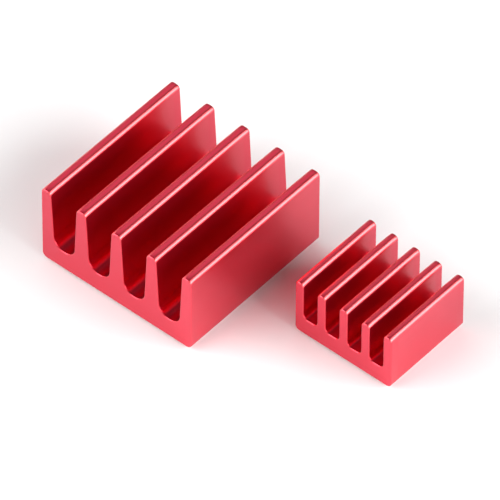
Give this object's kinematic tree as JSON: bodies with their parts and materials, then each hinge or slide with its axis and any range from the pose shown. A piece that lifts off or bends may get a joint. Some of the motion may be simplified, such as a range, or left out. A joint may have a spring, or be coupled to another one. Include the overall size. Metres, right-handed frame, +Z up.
{
  "type": "finned heat sink set",
  "caption": "Large and small straight-finned extruded aluminium heat sinks, anodised red, each with a thermal adhesive pad and a release liner under its base.",
  "frame": {"origin": "centre of the large heat sink's footprint, on the underside of its release liner, which is the surface that the set lies on", "axes": "+X across the fins from the large heat sink towards the small one, +Y along the fins, +Z up out of the base, the way the fins point"},
  "size_m": [0.027, 0.0144, 0.0072],
  "materials": {
    "red_anodised_aluminium": "satin, dyed red anodising over a fine matt etch",
    "thermal_adhesive": "matt white, ceramic-filled acrylic adhesive",
    "release_film": "glossy pale blue siliconised film"
  },
  "bodies": {
    "large_sink": {"large_heat_sink": "red_anodised_aluminium", "large_thermal_pad": "thermal_adhesive"},
    "large_liner": {"large_release_liner": "release_film"},
    "small_sink": {"small_heat_sink": "red_anodised_aluminium", "small_thermal_pad": "thermal_adhesive"},
    "small_liner": {"small_release_liner": "release_film"}
  },
  "joints": [
    {"name": "large_liner_peel", "type": "slide", "parent": "large_sink", "child": "large_liner", "axis": [0, -1, 0], "range_m": [0, 0.015]},
    {"name": "small_sink_lift", "type": "slide", "parent": "large_sink", "child": "small_sink", "axis": [0, 0, 1], "range_m": [0, 0.02]},
    {"name": "small_liner_peel", "type": "slide", "parent": "small_sink", "child": "small_liner", "axis": [0, -1, 0], "range_m": [0, 0.009]}
  ]
}
